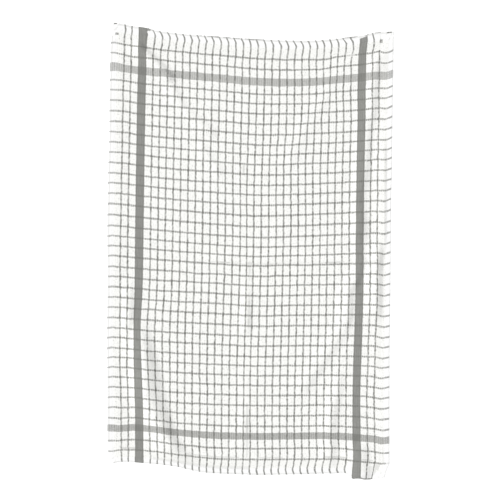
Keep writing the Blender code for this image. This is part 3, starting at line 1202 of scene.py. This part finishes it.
def grey_share(across, down, side_hem, end_hem, valley):
    """How much grey shows at each place, from 0 to 1: the yarn, and the marks, some of which are
    painted shade.
    """
    kinds = (FRAY, BEADS, STREAKS, MOTTLE)
    uneven = Uneven(*(noise(across, down, blots) - 0.5 for blots in kinds))
    swayed_across = across + (noise(across, down, SWAY_RIGHT) - 0.5) * SWAY_RIGHT_REACH
    swayed_down = down + (noise(across, down, SWAY_DOWN) - 0.5) * SWAY_DOWN_REACH

    warp_lines, warp = warp_grey(across, swayed_across, uneven, end_hem)
    weft_lines, weft = weft_grey(across, swayed_down, uneven, side_hem, valley)
    crossed = warp_lines * weft_lines * CROSSING_GAIN
    greyed = (1 - (1 - warp) * (1 - weft * WEFT_OVER_WARP) + crossed).least(1)
    hidden = patches(across, down, BARE)
    # The marks add yarn, and painted shade along the edges, hems, creases and foot seam.
    return (greyed * (1 - hidden)).most(patches(across, down, YARN_AND_SHADE_MARKS) * (1 + uneven.mottle))


def cloth_height(across, down, rib_crest):
    """The relief of the weave, in mm."""
    half = THREAD_PITCH / 2
    threads = wave(across, THREAD_PITCH) * wave(down, THREAD_PITCH)
    crossed = wave(across, THREAD_PITCH, half) * wave(down, THREAD_PITCH, half)
    slubs = noise(across, down, WARP_SLUBS) + noise(across, down, WEFT_SLUBS)
    return (threads + crossed) * THREAD_RELIEF + rib_crest * RIB_RELIEF + slubs * SLUB_RELIEF


def new_material(surface):
    """A matt material with its constants on the shader's own sockets."""
    material = bpy.data.materials.new(surface.name)
    material.use_nodes = True
    shader = material.node_tree.nodes["Principled BSDF"]
    shader.inputs["Roughness"].default_value = surface.roughness
    shader.inputs["Specular IOR Level"].default_value = SPECULAR
    shader.inputs["Sheen Weight"].default_value = surface.sheen
    shader.inputs["Sheen Roughness"].default_value = SHEEN_ROUGHNESS
    return material, material.node_tree, shader


def add_bump(tree, shader, height_in_mm, strength):
    """Gives the shader's normal a relief."""
    bump = tree.nodes.new("ShaderNodeBump")
    bump.inputs["Strength"].default_value = strength
    bump.inputs["Distance"].default_value = MM
    feed(tree, height_in_mm, bump.inputs["Height"])
    tree.links.new(bump.outputs[0], shader.inputs["Normal"])


def cloth_material():
    """White cotton woven in fine ribs, with its check in grey yarn, and painted shade in its rib
    valleys, hems and creases.
    """
    material, tree, shader = new_material(COTTON)
    across, down = flat_places(tree)
    from_side = across.least(WIDTH / MM - across)
    from_end = down.least(LENGTH / MM - down)
    side_hem = within(from_side, SIDE_HEM / MM, SOFT_EDGE)
    end_hem = within(from_end, END_HEM / MM, SOFT_EDGE)
    hems = side_hem.most(end_hem)

    rib_crest = wave(across, RIB_PITCH, CHECK.first)
    valley = 1 - rib_crest
    specks = rise(noise(across, down, SPECKS, SPECK_DETAIL), *SPECK_LEVELS)
    valley_patches = rise(noise(across, down, VALLEY_PATCHES), *VALLEY_PATCH_LEVELS)
    # Painted shade in the valleys between the ribs, deeper in patches, and specks of dust.
    valley_shade_and_patches = valley * (VALLEY_SHADE + valley_patches * VALLEY_PATCH_GREY)
    dust_and_valley_shade = (valley_shade_and_patches + specks * SPECK_GREY) * (1 - hems * GREY_LOST_IN_HEM)
    greyed = grey_share(across, down, side_hem, end_hem, valley).most(dust_and_valley_shade)

    white = mix_colour(tree, hems, WHITE_YARN, HEM_WHITE)
    colour = mix_colour(tree, greyed, white, GREY_YARN)
    tree.links.new(colour.socket, shader.inputs["Base Color"])
    add_bump(tree, shader, cloth_height(across, down, rib_crest), WEAVE_BUMP)
    return material


def thread_material():
    """White sewing thread with painted shade in the grooves of its twist, lost in the grey yarn where
    it crosses the bands.
    """
    material, tree, shader = new_material(SEWING)
    place = tree.nodes.new("ShaderNodeTexCoord")
    parts = tree.nodes.new("ShaderNodeSeparateXYZ")
    tree.links.new(place.outputs["Object"], parts.inputs[0])
    x = Field(tree, parts.outputs["X"]) / MM
    y = Field(tree, parts.outputs["Y"]) / MM
    ply = wave(x + y, PLY_PITCH)
    # Painted shade along the grooves between the plies.
    ply_shaded_white = mix_colour(tree, ply * PLY_SHADE, SEWING_WHITE, SEWING_SHADE)
    across, _ = flat_places(tree)
    colour = mix_colour(tree, band_share(across, WARP_BANDS), ply_shaded_white, GREY_YARN)
    tree.links.new(colour.socket, shader.inputs["Base Color"])
    add_bump(tree, shader, ply * PLY_RELIEF, PLY_BUMP)
    return material


def floor_material():
    """A plain pale surface that glows a little, so that no shadow shows on it."""
    material, _, shader = new_material(FLOOR)
    shader.inputs["Base Color"].default_value = FLOOR_COLOUR
    shader.inputs["Emission Color"].default_value = WHITE_LIGHT
    shader.inputs["Emission Strength"].default_value = FLOOR_GLOW
    return material


# ---- stage, light, camera


def make_floor():
    """The surface that the towel lies on."""
    half = FLOOR_SIZE / 2
    corners = [(-half, -half, 0), (half, -half, 0), (half, half, 0), (-half, half, 0)]
    return add_mesh("floor", corners, [(0, 1, 2, 3)], floor_material())


def make_light():
    """Even light from all round, and a soft key from the left."""
    world = bpy.data.worlds.new("studio")
    world.use_nodes = True
    background = world.node_tree.nodes["Background"]
    background.inputs["Color"].default_value = WHITE_LIGHT
    background.inputs["Strength"].default_value = SKY_STRENGTH
    bpy.context.scene.world = world

    key = bpy.data.lights.new("key", "SUN")
    key.energy = KEY_STRENGTH
    key.angle = np.radians(KEY_WIDTH_DEGREES)
    turn = np.radians((KEY_TILT_DEGREES, 0, KEY_HEADING_DEGREES))
    add_object("key", key).rotation_euler = turn


def make_camera():
    """Straight above the middle of the photograph's frame."""
    data = bpy.data.cameras.new("camera")
    data.sensor_width = SENSOR_WIDTH
    data.lens = SENSOR_WIDTH * CAMERA_HEIGHT / PHOTO_SPAN
    camera = add_object("camera", data)
    camera.location = (*PHOTO_MIDDLE, CAMERA_HEIGHT)
    bpy.context.scene.camera = camera


def main():
    """Sets up the stage, and makes the towel."""
    make_camera()
    make_light()
    floor = make_floor()

    cloth = make_cloth()
    thread = thread_material()
    face_stitches = make_stitches("face_stitches", True, thread)
    back_stitches = make_stitches("back_stitches", False, thread)
    for piece in (cloth, face_stitches, back_stitches):
        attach(piece, "root")
    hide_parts("towel")
    bpy.context.scene.view_settings.view_transform = "Standard"


main()
